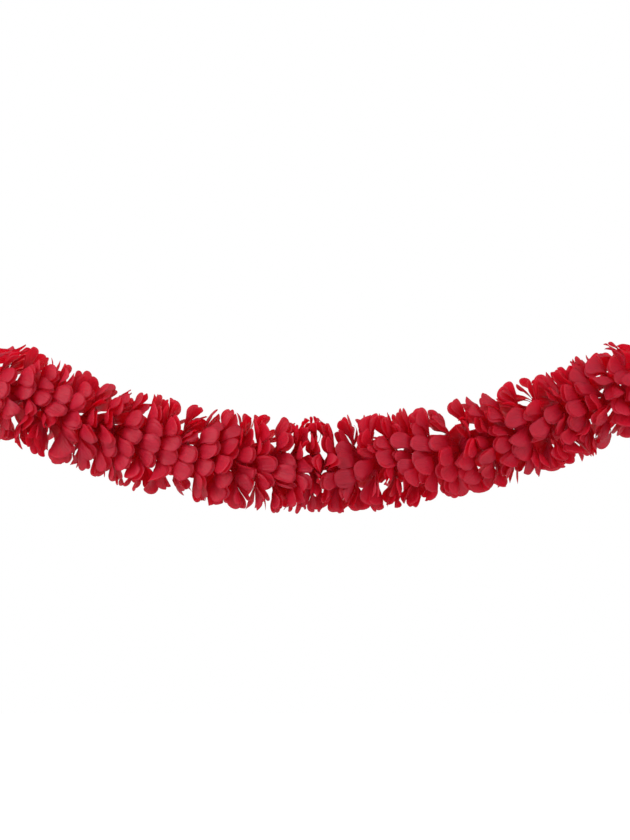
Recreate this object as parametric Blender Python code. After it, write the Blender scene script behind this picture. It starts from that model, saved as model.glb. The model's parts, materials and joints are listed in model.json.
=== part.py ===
"""Tissue paper flower garland, hanging as a swag between two hooks.

The garland is a row of die-cut tissue flowers. Each flower is two sheets glued together on every
petal, so it opens like a lantern, and neighbouring flowers are glued together at their hubs. Each
hub is a soft hinge. At both ends a half flower is glued to a round card, and a loop of string
threaded through two slots in the card goes over a hook.

Lengths are in metres. +X runs along the garland, +Z is up, and the origin is where the left hook
holds the left loop.
"""

import math

import bmesh
import bpy
from mathutils import Matrix, Vector

# The row of flowers and the curve it hangs in
FLOWERS = 35  # whole flowers, an odd number, so that one hangs at the lowest point
PITCH = 0.031  # from hub to hub along the garland
SAG_RADIUS = 1.03  # radius of the hanging curve at its lowest point

# One sheet of tissue
PETALS = 14
PAPER = 0.0008  # the tissue and its glue, modelled thicker than the real sheet
HUB_RADIUS = 0.007
HUB_GAP = 0.0003  # the glue between two hubs
HUB_DOME = 0.0006  # how far a hub's rim lies behind its middle, so that the hub can hinge
GLUE_RADIUS = 0.030  # where the petals of a flower's two sheets are glued together
GLUE_HALF_WIDTH = 0.006
GLUE_HEIGHT = 0.004
TIP_LENGTH = 0.050  # the free end of a petal, beyond its glue
TIP_WIDE_AT = 0.036  # how far beyond the glue the petal is widest
TIP_HALF_WIDTH = 0.0115
TIP_END_HALF_WIDTH = 0.0055

# How the free petals stand. They lean down the slope of the swag, most at the front and back.
FLARE = math.radians(10)  # each petal of a pair from the middle between them
LEAN_UP = math.radians(26)  # a petal that points up
LEAN_ACROSS = math.radians(42)  # a petal that points forward or back
LEAN_DOWN = math.radians(16)  # a petal that points down
LEAN_LENGTH = 0.085  # how far from the lowest point the lean builds up

# The end card and its two slots
CARD_RADIUS = 0.036
CARD_THICKNESS = 0.0012
CARD_SIDES = 32
SEAT_GAP = 0.0003  # glue between a card and its half flower, and play between string and card
SLOT_SPREAD = 0.012  # from slot to slot
SLOT_SIDES = 8  # corners round one end of a slot

# The string loop
STRING_RADIUS = 0.0009
LOOP_LENGTH = 0.060  # from the string behind the card to the inside of the loop's far end
LOOP_STRAIGHT = 0.006  # straight out of the card before the two legs draw together
LOOP_END_RADIUS = 0.005
LOOP_CORNER_RADIUS = 0.0016
LOOP_SWING = math.radians(35)  # how far the loop swings each way in its slots
KNOT_RADIUS = 0.0023
KNOT_LENGTH = 0.007
KNOT_AT = 0.022  # from the string behind the card to the middle of the knot

OVERRUN = 0.001  # how far a cutter passes the faces that it cuts

PAPER_RED = (0.42, 0.013, 0.028, 1.0)
CARD_RED = (0.30, 0.012, 0.020, 1.0)
STRING_CREAM = (0.80, 0.74, 0.62, 1.0)


def new_material(name, colour, roughness):
    material = bpy.data.materials.new(name)
    material.use_nodes = True
    shader = material.node_tree.nodes["Principled BSDF"]
    shader.inputs["Base Color"].default_value = colour
    shader.inputs["Roughness"].default_value = roughness
    shader.inputs["Metallic"].default_value = 0.0
    material.diffuse_color = colour
    return material


# The hanging curve is a catenary. Arc lengths count from its lowest point.


def hanging_point(arc):
    """The point of the hanging curve at this arc length, with the lowest point at zero."""
    x = SAG_RADIUS * math.asinh(arc / SAG_RADIUS)
    z = math.hypot(SAG_RADIUS, arc) - SAG_RADIUS
    return Vector((x, 0.0, z))


def heading(start, end):
    """The slope of the line from start to end, as an angle from +X towards +Z."""
    run = end - start
    return math.atan2(run.z, run.x)


def along(angle, distance):
    return Vector((math.cos(angle), 0.0, math.sin(angle))) * distance


# The tissue flowers. A flower's own axis is X.


def petal_lean(around):
    """How far a petal at this angle from the top leans where the swag slopes."""
    up = math.cos(around)
    upright = LEAN_UP if up > 0 else LEAN_DOWN
    return LEAN_ACROSS + (upright - LEAN_ACROSS) * up * up


def add_sheet_sector(bm, side, lean, half_pitch, glue_left, glue_right, glue_foot):
    """The upper petal of the sheet on this side of a flower (-1 or 1), with its slice of the hub."""
    slit = math.pi / PETALS
    slit_y = HUB_RADIUS * math.sin(slit)
    slit_z = HUB_RADIUS * math.cos(slit)
    hub_face = side * (half_pitch - HUB_GAP / 2)
    rim_face = hub_face - side * HUB_DOME
    rim_back = rim_face - side * PAPER
    new = bm.verts.new
    hub_middle = new((hub_face, 0, 0))
    hub_back = new((rim_back, 0, 0))
    root_left = new((rim_face, -slit_y, slit_z))
    root_right = new((rim_face, slit_y, slit_z))
    back_left = new((rim_back, -slit_y, slit_z))
    back_right = new((rim_back, slit_y, slit_z))
    glue_face = new((side * PAPER, 0, GLUE_RADIUS))

    angle = lean + side * FLARE
    petal_out = Vector((math.sin(angle), 0, math.cos(angle)))
    petal_foot = Vector((0, 0, GLUE_RADIUS))
    widest = petal_foot + petal_out * TIP_WIDE_AT
    wide_left = new(widest - Vector((0, TIP_HALF_WIDTH, 0)))
    wide_right = new(widest + Vector((0, TIP_HALF_WIDTH, 0)))
    tip = petal_foot + petal_out * TIP_LENGTH
    tip_left = new(tip - Vector((0, TIP_END_HALF_WIDTH, 0)))
    tip_right = new(tip + Vector((0, TIP_END_HALF_WIDTH, 0)))

    for corners in (
        (hub_middle, root_left, root_right),
        (hub_back, back_left, back_right),
        (root_left, root_right, glue_face),
        (root_left, glue_face, glue_left),
        (root_right, glue_right, glue_face),
        (back_left, back_right, glue_foot),
        (back_left, glue_foot, glue_left),
        (back_right, glue_right, glue_foot),
        (root_left, back_left, glue_left),
        (root_right, back_right, glue_right),
        (glue_face, glue_left, wide_left),
        (glue_face, wide_left, tip_left),
        (glue_face, tip_left, tip_right),
        (glue_face, tip_right, wide_right),
        (glue_face, wide_right, glue_right),
        (glue_left, glue_right, wide_right),
        (glue_left, wide_right, wide_left),
        (wide_left, wide_right, tip_right),
        (wide_left, tip_right, tip_left),
    ):
        bm.faces.new(corners)


def flower_mesh(name, sides, slope, turn, half_pitch, middle_at):
    """A flower of one or two sheets as one closed body, its glue plane at X = middle_at.

    The first petal stands at the angle turn from the top, and slope says how much of their full
    lean the petals take, and which way.
    """
    bm = bmesh.new()
    for petal in range(PETALS):
        around = turn + math.tau * petal / PETALS
        lean = slope * petal_lean(around)
        others = set(bm.verts)
        glue_left = bm.verts.new((0, -GLUE_HALF_WIDTH, GLUE_RADIUS))
        glue_right = bm.verts.new((0, GLUE_HALF_WIDTH, GLUE_RADIUS))
        glue_foot = bm.verts.new((0, 0, GLUE_RADIUS - GLUE_HEIGHT))
        for side in sides:
            add_sheet_sector(bm, side, lean, half_pitch, glue_left, glue_right, glue_foot)
        if len(sides) == 1:
            bm.faces.new((glue_left, glue_foot, glue_right))
        bmesh.ops.rotate(
            bm,
            verts=[v for v in bm.verts if v not in others],
            cent=(0, 0, 0),
            matrix=Matrix.Rotation(around, 3, "X"),
        )
    bmesh.ops.remove_doubles(bm, verts=bm.verts, dist=HUB_GAP / 10)
    bmesh.ops.recalc_face_normals(bm, faces=bm.faces)
    bmesh.ops.translate(bm, verts=bm.verts, vec=(middle_at, 0, 0))
    mesh = bpy.data.meshes.new(name)
    bm.to_mesh(mesh)
    bm.free()
    return mesh


def place(obj, location, angle, parent):
    """Sets obj at location with its X axis at this heading."""
    bpy.context.scene.collection.objects.link(obj)
    obj.parent = parent
    obj.location = location
    obj.rotation_euler = (0.0, -angle, 0.0)
    return obj


def make_flowers(parent, tissue):
    """The whole flowers between the hubs. Each has its origin on the hub that it hinges on."""
    middle = FLOWERS // 2
    half_petal = math.pi / PETALS
    hubs = [hanging_point((n - FLOWERS / 2) * PITCH) for n in range(FLOWERS + 1)]
    for n in range(FLOWERS):
        start, end = hubs[n], hubs[n + 1]
        half_pitch = (end - start).length / 2
        away = (n > middle) - (n < middle)  # which way this flower lies from the middle one
        slope = -math.tanh((n - middle) * PITCH / LEAN_LENGTH)
        turn = half_petal * ((n - middle) % 2)
        name = f"paper_flower_{n + 1:02d}"
        mesh = flower_mesh(name, (-1, 1), slope, turn, half_pitch, away * half_pitch)
        mesh.materials.append(tissue)
        origin = ((start + end) / 2, start, end)[away]
        place(bpy.data.objects.new(name, mesh), origin, heading(start, end), parent)


# The end pieces. Their X axis points out of the garland along its end.


def slot_cutter(parent, y, location, angle):
    """A round-ended bar, standing through the card, for the slot at this Y."""
    reach = CARD_THICKNESS + SEAT_GAP + STRING_RADIUS
    half_width = STRING_RADIUS + SEAT_GAP
    half_length = (
        reach * math.tan(LOOP_SWING) + STRING_RADIUS / math.cos(LOOP_SWING) + SEAT_GAP
    )
    bm = bmesh.new()
    corners = []
    for end in (1, -1):
        centre_z = end * (half_length - half_width)
        for n in range(SLOT_SIDES + 1):
            around = math.pi * n / SLOT_SIDES + (0.0 if end == 1 else math.pi)
            corners.append(
                bm.verts.new(
                    (
                        -OVERRUN,
                        y + half_width * math.cos(around),
                        centre_z + half_width * math.sin(around),
                    )
                )
            )
    face = bm.faces.new(corners)
    made = bmesh.ops.extrude_face_region(bm, geom=[face])["geom"]
    moved = [v for v in made if isinstance(v, bmesh.types.BMVert)]
    bmesh.ops.translate(bm, verts=moved, vec=(CARD_THICKNESS + 2 * OVERRUN, 0, 0))
    bmesh.ops.recalc_face_normals(bm, faces=bm.faces)
    mesh = bpy.data.meshes.new("slot_cutter")
    bm.to_mesh(mesh)
    bm.free()
    cutter = place(bpy.data.objects.new("slot_cutter", mesh), location, angle, parent)
    cutter.hide_render = True
    cutter.display_type = "WIRE"
    return cutter


def make_card(name, parent, location, angle, board):
    """The round end card, its inner face at X = 0, with a slot for each leg of the loop."""
    bm = bmesh.new()
    rim = bmesh.ops.create_circle(
        bm, cap_ends=True, radius=CARD_RADIUS, segments=CARD_SIDES
    )["verts"]
    bmesh.ops.rotate(
        bm,
        verts=rim,
        cent=(0, 0, 0),
        matrix=Vector((0, 0, 1)).rotation_difference(Vector((1, 0, 0))).to_matrix(),
    )
    made = bmesh.ops.extrude_face_region(bm, geom=bm.faces[:])["geom"]
    moved = [v for v in made if isinstance(v, bmesh.types.BMVert)]
    bmesh.ops.translate(bm, verts=moved, vec=(CARD_THICKNESS, 0, 0))
    bmesh.ops.recalc_face_normals(bm, faces=bm.faces)
    mesh = bpy.data.meshes.new(name)
    bm.to_mesh(mesh)
    bm.free()
    mesh.materials.append(board)
    card = place(bpy.data.objects.new(name, mesh), location, angle, parent)
    for y in (-SLOT_SPREAD / 2, SLOT_SPREAD / 2):
        cut = card.modifiers.new("slot", "BOOLEAN")
        cut.operation = "DIFFERENCE"
        cut.object = slot_cutter(parent, y, location, angle)


def arc_points(centre_x, centre_y, radius, start, end, steps):
    """Points in the XY plane along an arc, both ends included, with angles in degrees."""
    for n in range(steps + 1):
        around = math.radians(start + (end - start) * n / steps)
        yield (
            centre_x + radius * math.cos(around),
            centre_y + radius * math.sin(around),
            STRING_RADIUS,
        )


def loop_points():
    """The string's centreline as (x, y, radius) round the loop, with its hinge axis on X = 0."""
    leg_y = SLOT_SPREAD / 2
    corner = LOOP_CORNER_RADIUS
    end_radius = LOOP_END_RADIUS
    end_x = LOOP_LENGTH + STRING_RADIUS - end_radius  # middle of the far bend
    points = [(0.0, 0.0, STRING_RADIUS)]
    points += arc_points(corner, leg_y - corner, corner, 180, 90, 3)
    points.append((LOOP_STRAIGHT, leg_y, STRING_RADIUS))
    points.append(((LOOP_STRAIGHT + end_x) / 2, (leg_y + end_radius) / 2, STRING_RADIUS))
    points += arc_points(end_x, 0.0, end_radius, 90, -90, 8)
    slope = (leg_y - end_radius) / (end_x - LOOP_STRAIGHT)
    for offset, radius in (
        (0.5, STRING_RADIUS),
        (0.3, KNOT_RADIUS),
        (-0.3, KNOT_RADIUS),
        (-0.5, STRING_RADIUS),
    ):
        x = KNOT_AT + offset * KNOT_LENGTH
        points.append((x, -(leg_y - slope * (x - LOOP_STRAIGHT)), radius))
    points.append((LOOP_STRAIGHT, -leg_y, STRING_RADIUS))
    points += arc_points(corner, corner - leg_y, corner, 270, 180, 3)
    return points


def make_loop(name, parent, location, angle, string):
    """The string loop, knotted on one leg, with its origin on the line that it swings about."""
    curve = bpy.data.curves.new(name, "CURVE")
    curve.dimensions = "3D"
    curve.bevel_depth = STRING_RADIUS
    curve.bevel_resolution = 2
    spline = curve.splines.new("POLY")
    points = loop_points()
    spline.points.add(len(points) - 1)
    for point, (x, y, radius) in zip(spline.points, points):
        point.co = (x, y, 0.0, 1.0)
        point.radius = radius / STRING_RADIUS
    spline.use_cyclic_u = True
    curve.materials.append(string)
    place(bpy.data.objects.new(name, curve), location, angle, parent)


def make_end(side, name, parent, materials):
    """The half flower, card and loop at one end of the garland."""
    tissue, board, string = materials
    hub = hanging_point(side * FLOWERS / 2 * PITCH)
    card_at = hanging_point(side * (FLOWERS + 1) / 2 * PITCH)
    angle = heading(hub, card_at)
    half_pitch = (card_at - hub).length

    flower = f"end_flower_{name}"
    mesh = flower_mesh(flower, (-1,), -1.0, 0.0, half_pitch, half_pitch)
    mesh.materials.append(tissue)
    place(bpy.data.objects.new(flower, mesh), hub, angle, parent)
    inner_face = card_at + along(angle, SEAT_GAP)
    make_card(f"end_card_{name}", parent, inner_face, angle, board)
    swing_axis = inner_face - along(angle, SEAT_GAP + STRING_RADIUS)
    make_loop(f"hanging_loop_{name}", parent, swing_axis, angle, string)
    return swing_axis + along(angle, LOOP_LENGTH)


def clear_scene():
    for obj in list(bpy.data.objects):
        bpy.data.objects.remove(obj)


def main():
    clear_scene()
    tissue = new_material("red_tissue", PAPER_RED, 0.85)
    board = new_material("red_card", CARD_RED, 0.8)
    string = new_material("cream_cotton", STRING_CREAM, 0.9)
    lowest_point = bpy.data.objects.new("lowest_point", None)
    bpy.context.scene.collection.objects.link(lowest_point)
    make_flowers(lowest_point, tissue)
    left_hook = make_end(-1, "left", lowest_point, (tissue, board, string))
    make_end(1, "right", lowest_point, (tissue, board, string))
    lowest_point.location = -left_hook


main()
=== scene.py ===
import json
import math

import bpy
import numpy as np
from mathutils import Matrix, Vector
from mathutils.bvhtree import BVHTree


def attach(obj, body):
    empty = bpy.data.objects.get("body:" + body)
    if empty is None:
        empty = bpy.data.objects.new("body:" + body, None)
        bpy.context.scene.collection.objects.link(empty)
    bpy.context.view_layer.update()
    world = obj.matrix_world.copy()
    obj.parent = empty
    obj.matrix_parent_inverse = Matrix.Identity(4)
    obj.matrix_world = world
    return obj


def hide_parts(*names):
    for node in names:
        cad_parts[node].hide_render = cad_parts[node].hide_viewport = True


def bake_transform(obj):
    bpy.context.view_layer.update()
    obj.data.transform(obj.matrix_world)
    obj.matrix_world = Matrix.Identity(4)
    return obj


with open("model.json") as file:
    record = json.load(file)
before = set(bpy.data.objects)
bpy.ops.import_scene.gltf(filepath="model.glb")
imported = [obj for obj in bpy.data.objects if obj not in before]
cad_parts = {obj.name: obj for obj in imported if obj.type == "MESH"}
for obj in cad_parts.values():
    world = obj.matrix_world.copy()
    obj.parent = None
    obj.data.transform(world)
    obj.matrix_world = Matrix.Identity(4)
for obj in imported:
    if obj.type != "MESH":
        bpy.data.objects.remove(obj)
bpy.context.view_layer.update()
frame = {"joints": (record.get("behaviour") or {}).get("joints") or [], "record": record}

bpy.ops.object.select_all(action="DESELECT")

# The photographer's camera
# It stands level in front of the garland's lowest point and frames a metre of the garland,
# without its ends.
CAMERA_DISTANCE = 2.2
FRAMED_WIDTH = 1.008
CAMERA_ABOVE_LOWEST = 0.071  # over the axis of the flower at the lowest point
IMAGE_WIDTH, IMAGE_HEIGHT = 630, 840

mounts = {m["name"]: m for m in frame["record"]["mounts"]}
hubs = sorted(
    (Vector(j["pos_m"]) for j in frame["joints"] if j["name"].startswith("hub_")),
    key=lambda hub: hub.x,
)
FLOWERS = len(hubs) - 1
lowest = (hubs[FLOWERS // 2] + hubs[FLOWERS // 2 + 1]) / 2

bpy.ops.object.camera_add(
    location=lowest + Vector((0, -CAMERA_DISTANCE, CAMERA_ABOVE_LOWEST)),
    rotation=(math.radians(90), 0, 0),
)
camera = bpy.context.object
camera.name = "camera"
camera.data.sensor_fit = "AUTO"
camera.data.sensor_width = 36.0
framed_height = FRAMED_WIDTH * IMAGE_HEIGHT / IMAGE_WIDTH
camera.data.lens = camera.data.sensor_width * CAMERA_DISTANCE / framed_height
bpy.context.scene.camera = camera


# A die-cut sheet of tissue
# The sheet is punched flat from thin red tissue: round-ended petals on a small hub, each petal
# narrow at its root. It is modelled flat, as it leaves the die, and opened afterwards.
PETALS = 14
PETAL_STEP = math.tau / PETALS
PETAL_FACES_ACROSS = 6
LEG_FACES, FREE_FACES, CAP_FACES = 2, 4, 3  # along the petal, to its glue, round end and tip
HUB_RADIUS = 0.0068
GLUE_AT = 0.0345  # along the petal, where it is glued to the next sheet
CAP_FROM = 0.0697  # where the round end starts
PETAL_LENGTH = 0.0828
PETAL_HALF_WIDTH = 0.0148
PETAL_SWELL = 1.15  # how it widens towards its round end, 1 for straight sides
TISSUE = 0.00016

row_starts = np.cumsum((0, LEG_FACES, FREE_FACES, CAP_FACES))
bpy.ops.mesh.primitive_grid_add(
    x_subdivisions=PETAL_FACES_ACROSS, y_subdivisions=row_starts[-1], size=2
)
die_cut = bpy.context.object
die_cut.name = "die_cut_sheet"
root_half_width = HUB_RADIUS * math.tan(PETAL_STEP / 2)
for vertex in die_cut.data.vertices:
    across, row = vertex.co.x, (vertex.co.y + 1) / 2 * row_starts[-1]
    cap = (row - row_starts[2]) / CAP_FACES
    if cap > 0:
        x = PETAL_HALF_WIDTH * across * math.sqrt(1 - cap * cap / 2)
        y = CAP_FROM + (PETAL_LENGTH - CAP_FROM) * cap * math.sqrt(1 - across * across / 2)
    else:
        y = float(np.interp(row, row_starts[:3], (HUB_RADIUS, GLUE_AT, CAP_FROM)))
        share = (y - HUB_RADIUS) / (CAP_FROM - HUB_RADIUS)
        widening = (PETAL_HALF_WIDTH - root_half_width) * share**PETAL_SWELL
        x = across * (root_half_width + widening)
    vertex.co = (x, y, 0)

bpy.ops.object.mode_set(mode="EDIT")
bpy.ops.mesh.select_all(action="SELECT")
bpy.ops.mesh.spin(
    steps=PETALS, dupli=True, angle=math.tau, center=(0, 0, 0), axis=(0, 0, 1)
)
bpy.ops.mesh.select_all(action="SELECT")
bpy.ops.mesh.remove_doubles(threshold=0.00005)
bpy.ops.mesh.select_all(action="DESELECT")
bpy.ops.object.mode_set(mode="OBJECT")
root_corner = HUB_RADIUS / math.cos(PETAL_STEP / 2)
for edge in die_cut.data.edges:
    ends = [die_cut.data.vertices[v].co for v in edge.vertices]
    edge.select = all(end.length < root_corner + TISSUE for end in ends)
bpy.ops.object.mode_set(mode="EDIT")
bpy.ops.mesh.edge_face_add()
bpy.ops.mesh.poke()
bpy.ops.object.mode_set(mode="OBJECT")

# each vertex's petal, and its place across and along that petal
flat = np.array([vertex.co for vertex in die_cut.data.vertices])
petal_of = np.rint(np.arctan2(flat[:, 0], flat[:, 1]) / PETAL_STEP).astype(int) % PETALS
turned = petal_of * PETAL_STEP
across = flat[:, 0] * np.cos(turned) - flat[:, 1] * np.sin(turned)
along = flat[:, 0] * np.sin(turned) + flat[:, 1] * np.cos(turned)

# the tissue's grain runs along each petal, and no two petals show the same stretch of it
PETAL_GRAIN_STEP = 0.05
TO_DECIMETRES = 10
grain = die_cut.data.uv_layers.active or die_cut.data.uv_layers.new()
grain.name = "grain"
for loop in die_cut.data.loops:
    v = loop.vertex_index
    u = across[v] + petal_of[v] * PETAL_GRAIN_STEP
    grain.data[loop.index].uv = (u * TO_DECIMETRES, along[v] * TO_DECIMETRES)


def tissue_paper():
    """Thin dull red tissue that lets some light through, with cloudy fibres and fine creases."""
    material = bpy.data.materials.new("red_tissue_paper")
    material.use_nodes = True
    nodes, links = material.node_tree.nodes, material.node_tree.links
    shader = nodes["Principled BSDF"]
    shader.inputs["Roughness"].default_value = 0.5
    shader.inputs["Specular IOR Level"].default_value = 1.0
    shader.inputs["Sheen Weight"].default_value = 0.06
    shader.inputs["Sheen Roughness"].default_value = 0.4
    shader.inputs["Sheen Tint"].default_value = (1.0, 0.55, 0.6, 1)
    grain_map = nodes.new("ShaderNodeUVMap")
    grain_map.uv_map = "grain"

    clouds = nodes.new("ShaderNodeTexNoise")
    clouds.inputs["Scale"].default_value = 5
    clouds.inputs["Detail"].default_value = 5
    links.new(grain_map.outputs["UV"], clouds.inputs["Vector"])
    tone = nodes.new("ShaderNodeValToRGB")
    tone.color_ramp.elements[0].position = 0.32
    tone.color_ramp.elements[0].color = (0.70, 0.015, 0.072, 1)
    tone.color_ramp.elements[1].position = 0.70
    tone.color_ramp.elements[1].color = (0.83, 0.034, 0.120, 1)
    links.new(clouds.outputs["Fac"], tone.inputs["Fac"])
    links.new(tone.outputs["Color"], shader.inputs["Base Color"])

    stretch = nodes.new("ShaderNodeMapping")
    stretch.inputs["Scale"].default_value = (1, 0.13, 1)
    links.new(grain_map.outputs["UV"], stretch.inputs["Vector"])
    creases = nodes.new("ShaderNodeTexNoise")
    creases.inputs["Scale"].default_value = 30
    creases.inputs["Detail"].default_value = 3
    creases.inputs["Distortion"].default_value = 0.4
    links.new(stretch.outputs["Vector"], creases.inputs["Vector"])
    crease_bump = nodes.new("ShaderNodeBump")
    crease_bump.inputs["Strength"].default_value = 0.7
    crease_bump.inputs["Distance"].default_value = 0.0022
    links.new(creases.outputs["Fac"], crease_bump.inputs["Height"])
    fibres = nodes.new("ShaderNodeTexNoise")
    fibres.inputs["Scale"].default_value = 190
    fibres.inputs["Detail"].default_value = 2
    links.new(grain_map.outputs["UV"], fibres.inputs["Vector"])
    fibre_bump = nodes.new("ShaderNodeBump")
    fibre_bump.inputs["Strength"].default_value = 0.22
    fibre_bump.inputs["Distance"].default_value = 0.0001
    links.new(fibres.outputs["Fac"], fibre_bump.inputs["Height"])
    links.new(crease_bump.outputs["Normal"], fibre_bump.inputs["Normal"])
    links.new(fibre_bump.outputs["Normal"], shader.inputs["Normal"])

    through = nodes.new("ShaderNodeBsdfTranslucent")
    through.inputs["Color"].default_value = (0.90, 0.022, 0.105, 1)
    links.new(fibre_bump.outputs["Normal"], through.inputs["Normal"])
    thin = nodes.new("ShaderNodeMixShader")
    thin.inputs["Fac"].default_value = 0.70
    links.new(shader.outputs["BSDF"], thin.inputs[1])
    links.new(through.outputs["BSDF"], thin.inputs[2])
    links.new(thin.outputs["Shader"], nodes["Material Output"].inputs["Surface"])
    return material


tissue = tissue_paper()

# The opened flowers
# Two sheets are glued petal to petal, and each flower is glued hub to hub to the next, so it
# opens like a lantern when the garland is pulled out. Beyond the glue the petals fan apart,
# cup and twist, and lie over down the slope of the swag, those at the front and back most.
PITCH = 0.031
SAG_RADIUS = 1.03  # of the catenary, at its lowest point
HUB_GLUE = 0.0003
HUB_DOME = 0.0004  # how far a hub's rim lies behind its middle, so that the hub can hinge
GLUE_RADIUS = 0.030
GLUE_WANDERS, GLUE_TURNS = 0.0020, math.radians(1.6)  # how unevenly the petals are glued
GLUE_SKEW = 0.35  # of how far the glue wanders, along the garland
LEG_CURVE = 0.12  # of a petal between its hub and its glue, 0 for a straight leg
FREE = PETAL_LENGTH - GLUE_AT
SIDE_FAN, UPRIGHT_FAN = np.radians((7, 13))  # of each petal from the middle of its pair
BEND_LENGTH = 0.032  # over which a petal bends from its glue into its lean
LEAN_TURNS_IN = 0.050  # from the lowest point, where the lean changes sides
TOP_LEAN, SIDE_LEAN, FOOT_LEAN = np.radians((28, 70, 18))
LEAN_VARIES, MOST_LEAN = np.radians((18, 80))
DROOP, SWAY_VARIES = np.radians((7, 13))  # of the petals round the garland, in their own plane
TOP_TWIST, SIDE_TWIST, FOOT_TWIST = np.radians((68, 43, 42))  # about their own length
LOWEST_TWIST = math.radians(35)  # added at the front and back, where petals don't lean over
SWAY_ALONE, OWN_TURN = np.radians((10, 19))  # of one pair, and of one petal of it
NECK_LENGTH = 0.012  # over which a petal turns in its own plane
CUP_OVER, CUP_VARIES = 0.8, 0.7  # curl across a petal, in radians from its middle to its side
NOD_VARIES, CURL_VARIES = 0.17, 0.16  # how far its tip is raised, as shares of its free length
LEAST_TURNED = 0.4  # share of TOP_TWIST that every petal at the top has
FAN_SHARE, FAN_VARIES = 0.68, 0.43  # of SIDE_FAN and UPRIGHT_FAN
OWN_TILT, OWN_CUP, OWN_TIP = 0.8, 0.8, 0.7  # of one petal of a pair, as shares of its fan
LEAST_FAN = 0.2
CUP_MIDDLE = 0.3  # where a petal's own cup neither adds to its fan nor takes from it
FOLD_VARIES = 0.25  # slope of the two halves beside the fold
FOLD_ROUND = 0.0025  # radius of the soft fold down a petal's middle
PLEAT_TURNS = (0.8, 1.6)  # half waves across half a petal
PLEAT_DEPTH = (0.0002, 0.0010)
PLEATS_FADE = 0.7  # towards the tip
CUP_STARTS, PLEATS_START = 3, 5  # full a third and a fifth of the way from glue to tip
TWIST_EASE = 0.7  # below 1, most of the twist lies near the glue
LEVEL = 0.0012  # by which every other petal lies above its neighbours
SLOT_MARGIN = 0.0012  # that a petal keeps from the middle between two flowers
CARD_RADIUS = 0.036  # of the end cards
RIM_MARGIN = 0.006  # past the end card's rim, before a half flower's petals may lie over it
ROOM_LOST = 0.7  # how fast the room between the flowers closes as their petals lean, 1 at most
NEARLY_FLAT = 1e-3  # least lean in radians, and least cup, that a petal is bent by
DRAWS = 240  # of petals that cut through others, calmer and calmer in the second half
REDRAWN = 0.25  # of the cutting petals at a time
PUSHES = 8  # of overlapping petals away from each other
FLOWERS_REACHED = 3  # by a flower's leaning petals

rng = np.random.default_rng(1)


def random_field(slowest, fastest, most_round, waves=8):
    """A smooth random function of arc and angle, about -1 to 1, that neighbouring petals share."""
    arc_rate = rng.uniform(slowest, fastest, waves)
    round_rate = rng.integers(-most_round, most_round + 1, waves)
    phase = rng.uniform(0, math.tau, waves)
    weight = 1 / arc_rate
    weight *= 1.5 / math.sqrt((weight**2).sum())

    def field(arc, angle):
        turns = arc_rate * arc[:, None] + round_rate * angle[:, None] + phase
        return (np.cos(turns) * weight).sum(-1)

    return field


lean_field = random_field(15, 80, 3)
sway_field = random_field(22, 66, 3)


def petal_lean(arc, angle, varies):
    """How far the petals lean along the garland here, smooth so that they don't cross."""
    up = np.cos(angle)
    upright = np.where(up > 0, TOP_LEAN, FOOT_LEAN)
    full = SIDE_LEAN + (upright - SIDE_LEAN) * up**2
    lean = -np.tanh(arc / LEAN_TURNS_IN) * full + varies * lean_field(arc, angle)
    return np.clip(lean, -MOST_LEAN, MOST_LEAN)


half_pitch = PITCH / 2
end_hub_arc = FLOWERS * half_pitch
end_heading = math.atan2(*(mounts["right_card_face"]["axis"][i] for i in (2, 0)))
lowest_z = lowest.z - (math.hypot(SAG_RADIUS, half_pitch) - SAG_RADIUS)


def swag(arc):
    """The garland's axis at these arc lengths from its lowest point, and its heading there."""
    inside = np.clip(arc, -end_hub_arc, end_hub_arc)
    beyond = arc - inside
    heading = np.where(beyond == 0, np.arctan(inside / SAG_RADIUS), np.sign(beyond) * end_heading)
    x = lowest.x + SAG_RADIUS * np.arcsinh(inside / SAG_RADIUS) + beyond * np.cos(heading)
    z = lowest_z + np.hypot(SAG_RADIUS, inside) - SAG_RADIUS + beyond * np.sin(heading)
    return x, z, heading


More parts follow.
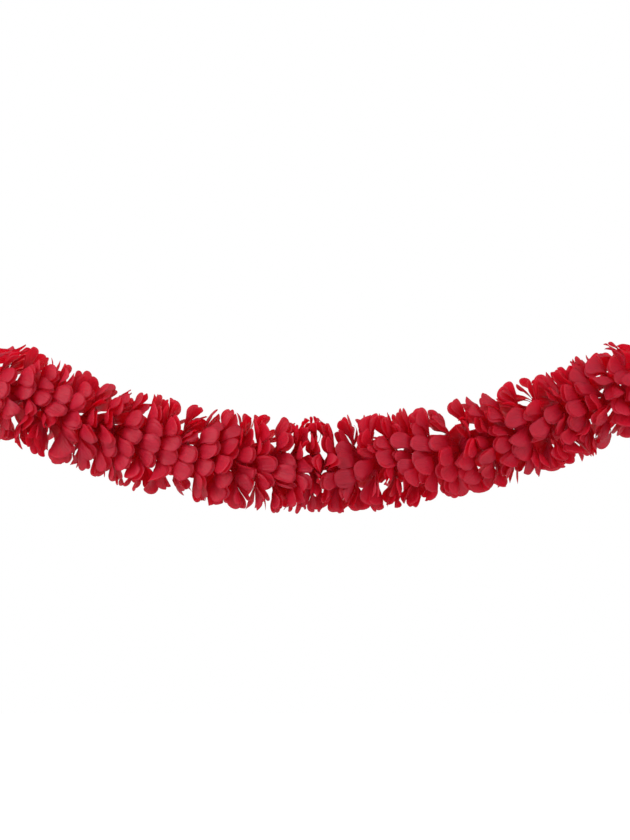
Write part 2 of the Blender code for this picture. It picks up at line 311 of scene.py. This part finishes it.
def draw_petals(arc_middle, petal_angle, calm):
    """How each petal of one flower hangs: as its pair shares it, then for each sheet alone."""

    def chance(spread, sheets=()):
        return np.clip(rng.normal(0, 1, (*sheets, PETALS)), -1.7, 1.7) * spread * calm

    def even_chance(spread, sheets=()):
        return rng.uniform(-1, 1, (*sheets, PETALS)) * spread * calm

    level = np.where(np.arange(PETALS) % 2, 1.0, -1.0)  # every other petal lies on top
    crowded = np.sin(petal_angle) ** 2  # at the front and back, where leaning petals overlap
    upright = np.clip(np.cos(petal_angle), 0, 1)
    turned = rng.choice((-1, 1), PETALS) * rng.uniform(LEAST_TURNED, 1, PETALS) * calm
    side_twist = SIDE_TWIST + LOWEST_TWIST / math.cosh(arc_middle / LEAN_TURNS_IN) ** 2
    twist = side_twist * crowded + FOOT_TWIST * (1 - crowded)
    sway = DROOP * np.sin(petal_angle)
    sway += SWAY_VARIES * calm * sway_field(np.full(PETALS, arc_middle), petal_angle)
    fan = SIDE_FAN * crowded + UPRIGHT_FAN * (1 - crowded)
    return {
        "glue_radius": GLUE_RADIUS + even_chance(GLUE_WANDERS),
        "glue_axial": chance(GLUE_SKEW * GLUE_WANDERS),
        "glue_turn": chance(GLUE_TURNS),
        "level": LEVEL * level * abs(np.sin(petal_angle)),
        "twist": upright * TOP_TWIST * turned + (1 - upright) * chance(twist),
        "cup": level * rng.uniform(0, CUP_OVER, PETALS) * crowded
        + chance(CUP_VARIES) * (1 - crowded),
        "lean": np.full(PETALS, LEAN_VARIES * calm),
        "nod": chance(NOD_VARIES),
        "curl": chance(CURL_VARIES),
        "sway": sway + chance(SWAY_ALONE),
        "fan": fan * (FAN_SHARE + even_chance(FAN_VARIES)),
        "fold": chance(FOLD_VARIES),
        "pleat_turns": rng.uniform(*PLEAT_TURNS, PETALS),
        "pleat_phase": rng.uniform(0, math.tau, PETALS),
        "pleat_depth": rng.uniform(*PLEAT_DEPTH, PETALS),
        "own_turn": chance(OWN_TURN, (2,)),
        "own_tilt": even_chance(OWN_TILT, (2,)),
        "own_cup": even_chance(OWN_CUP, (2,)),
        "own_tip": even_chance(OWN_TIP, (2,)),
    }


def push_aside(sway, twist):
    """The petals' turns in their own plane, after those that would overlap have moved apart."""
    widest_at = (GLUE_RADIUS + CAP_FROM - GLUE_AT) * 2 * math.sin(PETAL_STEP / 2)
    half_width = PETAL_HALF_WIDTH * np.cos(twist * 0.6)
    closest = -(widest_at - half_width - np.roll(half_width, -1)) / (CAP_FROM - GLUE_AT)
    for _ in range(PUSHES):
        push = np.clip(closest - (np.roll(sway, -1) - sway), 0, None) / 2
        sway = sway + np.roll(push, 1) - push
    return sway


def open_sheet(side, arc_middle, petal_angle, hang, on_card=False):
    """Where the flat sheet's vertices are once it is glued on this side of a flower and opened."""
    k = petal_of
    leg = np.clip((along - HUB_RADIUS) / (GLUE_AT - HUB_RADIUS), 0, 1)
    eased = leg - LEG_CURVE * np.sin(math.tau * leg)
    hub_face = half_pitch - (HUB_GLUE + TISSUE) / 2
    hub_face = hub_face - HUB_DOME * np.clip(along / HUB_RADIUS, 0, 1) ** 2
    axial = side * (hub_face * (1 - eased) + TISSUE * eased) + hang["glue_axial"][k] * eased
    glue_radius = hang["glue_radius"][k]
    radial = np.where(along < HUB_RADIUS, along, HUB_RADIUS + (glue_radius - HUB_RADIUS) * leg)

    # beyond the glue: turned in its own plane, then cupped, folded and pleated with its pair
    own = (side + 1) // 2
    past = np.clip(along - GLUE_AT, 0, FREE)
    own_sway = push_aside(hang["sway"] + hang["own_turn"][own], hang["twist"])
    turn = (own_sway - hang["sway"])[k] * np.clip(past / NECK_LENGTH, 0, 1)
    aside = across * np.cos(turn) + past * np.sin(turn)
    past = np.clip(past * np.cos(turn) - across * np.sin(turn) * (past > 0), 0, None)
    free = past / FREE
    u = aside / PETAL_HALF_WIDTH
    opened = np.clip(free * CUP_STARTS, 0, 1)
    bow = hang["cup"][k] * opened / PETAL_HALF_WIDTH
    bow = np.where(abs(bow) < NEARLY_FLAT, NEARLY_FLAT, bow)
    wide = np.sin(bow * aside) / bow
    deep = (1 - np.cos(bow * aside)) / bow
    deep += hang["fold"][k] * opened * (np.hypot(aside, FOLD_ROUND) - FOLD_ROUND)
    pleats = np.sin(u * math.pi * hang["pleat_turns"][k] + hang["pleat_phase"][k])
    fading = 1 - PLEATS_FADE * free
    deep += hang["pleat_depth"][k] * pleats * np.clip(free * PLEATS_START, 0, 1) * fading

    # out of its own plane: twisted with its pair, and spread from it
    twist = hang["twist"][k] * free**TWIST_EASE
    raised = np.sin(twist) * wide + np.cos(twist) * deep
    raised += (hang["nod"][k] * free + hang["curl"][k] * free**2) * FREE
    raised += hang["level"][k] * opened
    wide = np.cos(twist) * wide - np.sin(twist) * deep
    apart = 1 + hang["own_tilt"][own][k] * u + hang["own_cup"][own][k] * (u * u - CUP_MIDDLE)
    apart += hang["own_tip"][own][k] * free**2
    fan = past * np.sin(hang["fan"][k] * np.clip(apart, LEAST_FAN, None))

    # round the garland, and over into the lean, kept in the room that its flower has there
    angle = petal_angle[k] + leg * hang["glue_turn"][k]
    sway = hang["sway"][k] * np.clip(past / NECK_LENGTH, 0, 1)
    sideways = wide * np.cos(sway) + past * np.sin(sway)
    past = np.clip(past * np.cos(sway) - wide * np.sin(sway) * (past > 0), 0, None)
    toward = angle + np.arctan2(sideways, glue_radius + past)
    lean = petal_lean(arc_middle + raised, toward, hang["lean"][k])
    lean = np.where(abs(lean) < NEARLY_FLAT, NEARLY_FLAT, lean)
    bend = lean * np.clip(past / BEND_LENGTH, 0, 1)
    straight = np.clip(past - BEND_LENGTH, 0, None)
    curve = BEND_LENGTH / lean
    room = (half_pitch - SLOT_MARGIN) * np.cos(bend) ** ROOM_LOST
    fan = room * np.tanh(fan / room)
    raised = side * fan + (room - fan) * np.tanh(raised / (room - fan))
    axial += curve * (1 - np.cos(bend)) + straight * np.sin(lean) + raised * np.cos(bend)
    radial = radial + curve * np.sin(bend) + straight * np.cos(lean) - raised * np.sin(bend)

    if on_card:  # flat on its end card as far as the rim
        past_rim = np.clip(radial - CARD_RADIUS - RIM_MARGIN, 0, None)
        axial = side * np.maximum(side * axial, TISSUE - past_rim)

    x, z, heading = swag(arc_middle + axial)
    up, front = np.cos(angle), np.sin(angle)
    lift = radial * up - sideways * front
    depth = radial * front + sideways * up
    return np.stack((x - lift * np.sin(heading), depth, z + lift * np.cos(heading)), -1)


free_faces = [
    list(face.vertices)
    for face in die_cut.data.polygons
    if along[list(face.vertices)].min() > GLUE_AT - TISSUE
]
face_petal = petal_of[[face[0] for face in free_faces]]
next_sheet_faces = [[v + len(flat) for v in face] for face in free_faces]


def petals_tree(points):
    """The free petals of one flower's sheets, to be tested for petals that cut through others."""
    faces = free_faces + next_sheet_faces * (len(points) - 1)
    return BVHTree.FromPolygons(np.concatenate(points).tolist(), faces)


def cut_faces(tree, trees_before):
    """How many faces of each petal cut through its own flower, or through the flowers before it."""
    cuts = np.zeros(PETALS, dtype=int)
    pairs = np.array(tree.overlap(tree), dtype=int).reshape(-1, 2)
    sheet, petal = pairs // len(free_faces), face_petal[pairs % len(free_faces)]
    cutting = (petal[:, 0] != petal[:, 1]) | (sheet[:, 0] != sheet[:, 1])
    np.add.at(cuts, petal[cutting], 1)
    for other in trees_before:
        pairs = np.array(other.overlap(tree), dtype=int).reshape(-1, 2)
        np.add.at(cuts, face_petal[pairs[:, 1] % len(free_faces)], 2)
    return cuts


def make_sheet(name, points, grain_shift):
    """A copy of the die-cut sheet with its vertices at these points, given its thickness."""
    sheet = bpy.data.objects.new(name, die_cut.data.copy())
    bpy.context.scene.collection.objects.link(sheet)
    sheet.data.vertices.foreach_set("co", np.ascontiguousarray(points).ravel())
    uvs = np.empty(len(sheet.data.loops) * 2)
    sheet.data.uv_layers["grain"].data.foreach_get("uv", uvs)
    uvs[1::2] += grain_shift
    sheet.data.uv_layers["grain"].data.foreach_set("uv", uvs)
    bpy.ops.object.select_all(action="DESELECT")
    bpy.context.view_layer.objects.active = sheet
    sheet.select_set(True)
    wall = sheet.modifiers.new("wall", "SOLIDIFY")
    wall.thickness = TISSUE
    wall.offset = 0
    bpy.ops.object.modifier_apply(modifier="wall")
    return sheet


def join_sheets(name, sheets):
    """One flower of its glued sheets, in tissue paper."""
    bpy.ops.object.select_all(action="DESELECT")
    for sheet in sheets:
        sheet.select_set(True)
    bpy.context.view_layer.objects.active = sheets[0]
    if len(sheets) > 1:
        bpy.ops.object.join()
    flower = sheets[0]
    flower.name = flower.data.name = name
    bpy.ops.object.shade_smooth()
    flower.data.materials.clear()
    flower.data.materials.append(tissue)
    return flower


MIDDLE_FLOWER = FLOWERS // 2 + 1
SHEET_GRAIN_STEP = 0.41
bodies = ["left_end", *(f"flower_{n:02d}" for n in range(1, FLOWERS + 1)), "right_end"]


def follow_bend(flower, n):
    """The middle flower rides its own body; the others have their placing baked into their vertices
    and ride none.
    """
    from_middle = n - MIDDLE_FLOWER
    if from_middle == 0:
        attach(flower, bodies[n])
        return
    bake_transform(flower)


trees_before = []
for n in range(FLOWERS + 2):
    from_middle = n - MIDDLE_FLOWER
    arc_middle = from_middle * PITCH
    petal_angle = (np.arange(PETALS) + from_middle % 2 / 2) * PETAL_STEP
    end = {0: "left", FLOWERS + 1: "right"}.get(n)
    sides = {"left": (1,), "right": (-1,)}.get(end, (-1, 1))
    hang, cuts = None, None
    for attempt in range(DRAWS):
        tried = draw_petals(arc_middle, petal_angle, min(1, 2 - 2 * attempt / (DRAWS - 1)))
        if hang:
            redrawn = (cuts > 0) & (rng.random(PETALS) < REDRAWN)
            tried = {part: np.where(redrawn, tried[part], hang[part]) for part in hang}
        if end:  # its glue lies evenly on its card
            tried["level"] *= 0
            tried["glue_axial"] *= 0
        points = [open_sheet(side, arc_middle, petal_angle, tried) for side in sides]
        tree = petals_tree(points)
        tried_cuts = cut_faces(tree, trees_before)
        if hang is None or tried_cuts.sum() <= cuts.sum():
            hang, cuts = tried, tried_cuts
        if not cuts.any():
            break
    sheets = [
        make_sheet(
            f"sheet_{n:02d}",
            open_sheet(side, arc_middle, petal_angle, hang, on_card=bool(end)),
            (2 * n + side) * SHEET_GRAIN_STEP,
        )
        for side in sides
    ]
    flower = join_sheets(f"tissue_half_flower_{end}" if end else f"tissue_flower_{n:02d}", sheets)
    follow_bend(flower, n)
    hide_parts(f"end_flower_{end}" if end else f"paper_flower_{n:02d}")
    corners = [vertex.co for vertex in flower.data.vertices]
    faces = [face.vertices for face in flower.data.polygons]
    trees_before = [*trees_before, BVHTree.FromPolygons(corners, faces)][-FLOWERS_REACHED:]

bpy.data.objects.remove(die_cut)

# The end cards
# A round of red-faced board closes each end of the garland, with the petals of the last half
# flower glued to its back and two slots punched through it for the hanging string.
CARD_THICKNESS = 0.0012
CARD_CUT_EDGE = 0.0002  # how far the die rounds the card's edges
SLOT_SPREAD = 0.012
SLOT_HALF_WIDTH = 0.0012
SLOT_HALF_LENGTH = 0.0031


def red_board(name, colour, bump):
    """Smooth coated board, faintly mottled, or its rougher cut edge."""
    material = bpy.data.materials.new(name)
    material.use_nodes = True
    nodes, links = material.node_tree.nodes, material.node_tree.links
    shader = nodes["Principled BSDF"]
    shader.inputs["Roughness"].default_value = 0.5
    shader.inputs["Specular IOR Level"].default_value = 0.4
    place = nodes.new("ShaderNodeTexCoord")
    mottle = nodes.new("ShaderNodeTexNoise")
    mottle.inputs["Scale"].default_value = 260
    mottle.inputs["Detail"].default_value = 4
    links.new(place.outputs["Object"], mottle.inputs["Vector"])
    tone = nodes.new("ShaderNodeValToRGB")
    tone.color_ramp.elements[0].position = 0.35
    tone.color_ramp.elements[0].color = (*(c * 0.86 for c in colour), 1)
    tone.color_ramp.elements[1].position = 0.68
    tone.color_ramp.elements[1].color = (*colour, 1)
    links.new(mottle.outputs["Fac"], tone.inputs["Fac"])
    links.new(tone.outputs["Color"], shader.inputs["Base Color"])
    fibres = nodes.new("ShaderNodeTexNoise")
    fibres.inputs["Scale"].default_value = 1500
    fibres.inputs["Detail"].default_value = 3
    links.new(place.outputs["Object"], fibres.inputs["Vector"])
    relief = nodes.new("ShaderNodeBump")
    relief.inputs["Strength"].default_value = 0.5
    relief.inputs["Distance"].default_value = bump
    links.new(fibres.outputs["Fac"], relief.inputs["Height"])
    links.new(relief.outputs["Normal"], shader.inputs["Normal"])
    return material


card_face = red_board("red_card_face", (0.44, 0.010, 0.026), 0.00006)
card_core = red_board("pale_card_core", (0.62, 0.40, 0.38), 0.00015)


def end_frame(side, origin):
    """Local Z out of this end of the garland, with Y kept, for a piece built flat."""
    out = Vector(mounts[f"{side}_card_face"]["axis"])
    back = Vector((0, 1, 0))
    return Matrix.Translation(origin) @ Matrix((back.cross(out), back, out)).transposed().to_4x4()


for side in ("left", "right"):
    bpy.ops.mesh.primitive_cylinder_add(
        vertices=96, radius=CARD_RADIUS, depth=CARD_THICKNESS, location=(0, 0, -CARD_THICKNESS / 2)
    )
    card = bpy.context.object
    card.name = card.data.name = f"end_card_disc_{side}"
    for y in (-SLOT_SPREAD / 2, SLOT_SPREAD / 2):
        bpy.ops.mesh.primitive_cylinder_add(
            vertices=32, radius=SLOT_HALF_WIDTH, depth=CARD_THICKNESS * 4, location=(0, y, 0)
        )
        punch = bpy.context.object
        for vertex in punch.data.vertices:
            vertex.co.x += math.copysign(SLOT_HALF_LENGTH - SLOT_HALF_WIDTH, vertex.co.x)
        bpy.ops.object.select_all(action="DESELECT")
        bpy.context.view_layer.objects.active = card
        card.select_set(True)
        slot_cut = card.modifiers.new("slot", "BOOLEAN")
        slot_cut.object = punch
        bpy.ops.object.modifier_apply(modifier="slot")
        bpy.data.objects.remove(punch)
    edge = card.modifiers.new("cut_edge", "BEVEL")
    edge.width = CARD_CUT_EDGE
    edge.segments = 2
    bpy.ops.object.modifier_apply(modifier="cut_edge")
    bpy.ops.object.transform_apply(location=True, rotation=True, scale=True)
    bpy.ops.object.shade_smooth_by_angle(angle=math.radians(35))
    card.data.materials.append(card_face)
    card.data.materials.append(card_core)
    for face in card.data.polygons:
        face.material_index = int(abs(face.normal.z) < 0.5)
    card.data.transform(end_frame(side, Vector(mounts[f"{side}_card_face"]["pos_m"])))
    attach(card, f"{side}_end")
    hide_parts(f"end_card_{side}")

# The hanging loops
# A length of two-ply cotton twine passes through both slots behind each card, and its ends are
# wrapped and knotted together on one leg. A hook holds the far end of the loop.
STRING_RADIUS = 0.0009
PLY_TURN = 0.0055  # length of one turn of the two plies
PLY_RADIUS, PLY_OFFSET = 0.54, 0.46  # of a ply and of its middle, as shares of the string's
SECTION_POINTS = 14
STRING_STEP = 0.0005
LOOP_LENGTH = 0.060  # from the string behind the card to the inside of the loop's far end
LOOP_STRAIGHT = 0.006  # straight out of the card before the two legs draw together
LOOP_END_RADIUS = 0.005
LOOP_CORNER_RADIUS = 0.0016
KNOT_AT = 0.022
KNOT_WRAPS = 3
WRAP_POINTS = 16
WRAP_RADIUS = 1.75 * STRING_RADIUS
KNOT_TAIL = 0.009
TAIL_STRAIGHT = 0.001  # from the wraps, before the tail starts
TAIL_SPREAD = (1.3, 0.0004)  # of the upper tail, from the leg that the wraps are on


def cotton_twine():
    """Unbleached cotton, soft and hairy, uneven in tone, with painted shade making it darker
    between its fibres.
    """
    material = bpy.data.materials.new("cream_cotton_twine")
    material.use_nodes = True
    nodes, links = material.node_tree.nodes, material.node_tree.links
    shader = nodes["Principled BSDF"]
    shader.inputs["Roughness"].default_value = 0.9
    shader.inputs["Specular IOR Level"].default_value = 0.2
    shader.inputs["Sheen Weight"].default_value = 0.35
    shader.inputs["Sheen Roughness"].default_value = 0.5
    place = nodes.new("ShaderNodeTexCoord")
    fibres = nodes.new("ShaderNodeTexNoise")
    fibres.inputs["Scale"].default_value = 2200
    fibres.inputs["Detail"].default_value = 3
    links.new(place.outputs["Object"], fibres.inputs["Vector"])
    # the noise that raises the fibres also colours them: the cotton's uneven tone, plus painted
    # shade that darkens the bump's hollows between the fibres
    tone = nodes.new("ShaderNodeValToRGB")
    tone.color_ramp.elements[0].position = 0.3
    tone.color_ramp.elements[0].color = (0.56, 0.47, 0.34, 1)
    tone.color_ramp.elements[1].position = 0.65
    tone.color_ramp.elements[1].color = (0.82, 0.76, 0.64, 1)
    links.new(fibres.outputs["Fac"], tone.inputs["Fac"])
    links.new(tone.outputs["Color"], shader.inputs["Base Color"])
    relief = nodes.new("ShaderNodeBump")
    relief.inputs["Strength"].default_value = 0.8
    relief.inputs["Distance"].default_value = 0.00018
    links.new(fibres.outputs["Fac"], relief.inputs["Height"])
    links.new(relief.outputs["Normal"], shader.inputs["Normal"])
    return material


twine = cotton_twine()

bpy.ops.curve.primitive_bezier_circle_add(radius=STRING_RADIUS)
ply_section = bpy.context.object
bpy.ops.object.select_all(action="DESELECT")
ply_section.data.splines.clear()
outline = ply_section.data.splines.new("POLY")
outline.use_cyclic_u = True
outline.points.add(SECTION_POINTS - 1)
for n, point in enumerate(outline.points):
    around = math.tau * n / SECTION_POINTS
    aside_from_ply = PLY_OFFSET * math.sin(around)
    lobe = PLY_OFFSET * abs(math.cos(around)) + math.sqrt(PLY_RADIUS**2 - aside_from_ply**2)
    lobe *= STRING_RADIUS
    point.co = (lobe * math.cos(around), lobe * math.sin(around), 0, 1)


def twist_twine(name, route):
    """Twine along this route, as a closed mesh, with its centreline and its length."""
    route = np.array(route)
    marks = np.concatenate(([0], np.cumsum(np.linalg.norm(np.diff(route, axis=0), axis=1))))
    steps = max(2, round(marks[-1] / STRING_STEP))
    spaced = np.linspace(0, marks[-1], steps + 1)
    centre = np.stack([np.interp(spaced, marks, route[:, i]) for i in range(3)], -1)
    line = bpy.data.curves.new(name, "CURVE")
    line.dimensions = "3D"
    line.bevel_mode = "OBJECT"
    line.bevel_object = ply_section
    line.use_fill_caps = True
    strand = line.splines.new("POLY")
    strand.points.add(len(centre) - 1)
    for point, at, mark in zip(strand.points, centre, spaced):
        point.co = (*at, 1)
        point.tilt = math.tau * mark / PLY_TURN
    piece = bpy.data.objects.new(name, line)
    bpy.context.scene.collection.objects.link(piece)
    bpy.ops.object.select_all(action="DESELECT")
    bpy.context.view_layer.objects.active = piece
    piece.select_set(True)
    bpy.ops.object.convert(target="MESH")
    piece = bpy.context.object
    bpy.ops.object.mode_set(mode="EDIT")
    bpy.ops.mesh.select_all(action="SELECT")
    bpy.ops.mesh.remove_doubles(threshold=0.00001)
    bpy.ops.mesh.normals_make_consistent(inside=False)
    bpy.ops.object.mode_set(mode="OBJECT")
    bpy.ops.object.shade_smooth()
    piece.data.materials.clear()
    piece.data.materials.append(twine)
    return piece, centre, marks[-1]


def arc(centre_y, centre_z, radius, start, end, steps):
    """Points round an arc in the loop's plane, as (Y, Z), its angles in degrees from +Z to +Y."""
    turns = np.radians(np.linspace(start, end, steps + 1))
    return [(centre_y + radius * math.sin(a), centre_z + radius * math.cos(a)) for a in turns]


# the loop as (Y, Z): from behind the card out through one slot, round the hook, and back
leg_y = SLOT_SPREAD / 2
far_z = LOOP_LENGTH + STRING_RADIUS - LOOP_END_RADIUS
corner_y = leg_y - LOOP_CORNER_RADIUS
ends_meet_y = LOOP_CORNER_RADIUS - corner_y
loop_route = [
    (ends_meet_y, 0),
    *arc(corner_y, LOOP_CORNER_RADIUS, LOOP_CORNER_RADIUS, 180, 90, 6),
    (leg_y, LOOP_STRAIGHT),
    *arc(0, far_z, LOOP_END_RADIUS, 90, -90, 24),
    (-leg_y, LOOP_STRAIGHT),
    *arc(-corner_y, LOOP_CORNER_RADIUS, LOOP_CORNER_RADIUS, -90, -180, 6),
    (ends_meet_y - STRING_STEP, 0),
]

# the knot round one leg, with a tail out of each end of its wraps
drawn_in = (KNOT_AT - LOOP_STRAIGHT) / (far_z - LOOP_STRAIGHT)
knot_y = -leg_y + (leg_y - LOOP_END_RADIUS) * drawn_in
wraps_end = KNOT_WRAPS * STRING_RADIUS
knot_route = [
    (WRAP_RADIUS, 0, -wraps_end - KNOT_TAIL),
    (WRAP_RADIUS, 0, -wraps_end - TAIL_STRAIGHT),
]
for turn in np.linspace(0, math.tau * KNOT_WRAPS, WRAP_POINTS * KNOT_WRAPS + 1):
    height = wraps_end * (2 * turn / (math.tau * KNOT_WRAPS) - 1)
    knot_route.append((WRAP_RADIUS * math.cos(turn), WRAP_RADIUS * math.sin(turn), height))
knot_route += [
    (WRAP_RADIUS, 0, wraps_end + TAIL_STRAIGHT),
    (WRAP_RADIUS * TAIL_SPREAD[0], TAIL_SPREAD[1], wraps_end + KNOT_TAIL),
]

for side in ("left", "right"):
    swing = next(Vector(j["pos_m"]) for j in frame["joints"] if j["name"] == f"{side}_loop_swing")
    seat = end_frame(side, swing)
    string, string_line, string_length = twist_twine(
        f"hanging_string_{side}", [(0, y, z) for y, z in loop_route]
    )
    knot = twist_twine(
        f"string_knot_{side}", [(x, y + knot_y, z + KNOT_AT) for x, y, z in knot_route]
    )[0]
    for piece in (string, knot):
        piece.data.transform(seat)
        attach(piece, f"{side}_loop")
        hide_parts(f"hanging_loop_{side}")
    string_line = [seat @ Vector(point) for point in string_line]
bpy.data.objects.remove(ply_section)

# The studio
# A pale floor lies far below the hanging garland. The camera sees plain white all round, a big
# soft lamp stands at the left of the camera, and a weak one at its right.
FLOOR_BELOW = 1.9
bpy.ops.mesh.primitive_plane_add(size=14, location=lowest - Vector((0, 0, FLOOR_BELOW)))
floor = bpy.context.object
floor.name = "studio_floor"
paper = bpy.data.materials.new("studio_white")
paper.use_nodes = True
nodes, links = paper.node_tree.nodes, paper.node_tree.links
nodes["Principled BSDF"].inputs["Base Color"].default_value = (0.86, 0.86, 0.86, 1)
nodes["Principled BSDF"].inputs["Roughness"].default_value = 0.9
path = nodes.new("ShaderNodeLightPath")
white = nodes.new("ShaderNodeEmission")
seen = nodes.new("ShaderNodeMath")
seen.operation = "MAXIMUM"
links.new(path.outputs["Is Camera Ray"], seen.inputs[0])
links.new(path.outputs["Is Glossy Ray"], seen.inputs[1])
links.new(seen.outputs["Value"], white.inputs["Strength"])
add = nodes.new("ShaderNodeAddShader")
links.new(nodes["Principled BSDF"].outputs["BSDF"], add.inputs[0])
links.new(white.outputs["Emission"], add.inputs[1])
links.new(add.outputs["Shader"], nodes["Material Output"].inputs["Surface"])
floor.data.materials.append(paper)

world = bpy.data.worlds.new("studio")
bpy.context.scene.world = world
world.use_nodes = True
nodes, links = world.node_tree.nodes, world.node_tree.links
room = nodes["Background"]  # what lights the garland from all round
room.inputs["Color"].default_value = (1, 1, 1, 1)
room.inputs["Strength"].default_value = 0.76
backdrop = nodes.new("ShaderNodeBackground")
backdrop.inputs["Color"].default_value = (1, 1, 1, 1)
backdrop.inputs["Strength"].default_value = 1.0
path = nodes.new("ShaderNodeLightPath")
pick = nodes.new("ShaderNodeMixShader")
seen = nodes.new("ShaderNodeMath")
seen.operation = "MAXIMUM"
links.new(path.outputs["Is Camera Ray"], seen.inputs[0])
links.new(path.outputs["Is Transmission Ray"], seen.inputs[1])
links.new(seen.outputs["Value"], pick.inputs["Fac"])
links.new(room.outputs["Background"], pick.inputs[1])
links.new(backdrop.outputs["Background"], pick.inputs[2])
links.new(pick.outputs["Shader"], nodes["World Output"].inputs["Surface"])


def soft_light(name, offset, size, power):
    """A square lamp at this offset from the garland's lowest point, aimed at it."""
    bpy.ops.object.light_add(type="AREA", location=lowest + Vector(offset))
    light = bpy.context.object
    light.name = name
    light.data.size = size
    light.data.energy = power
    aim = lowest - light.location
    light.rotation_euler = aim.to_track_quat("-Z", "Y").to_euler()


soft_light("key_light", offset=(-1.5, -1.45, 1.05), size=1.4, power=22)
soft_light("fill_light", offset=(1.8, -1.8, 0.3), size=1.8, power=3)

bpy.context.scene.view_settings.view_transform = "Standard"
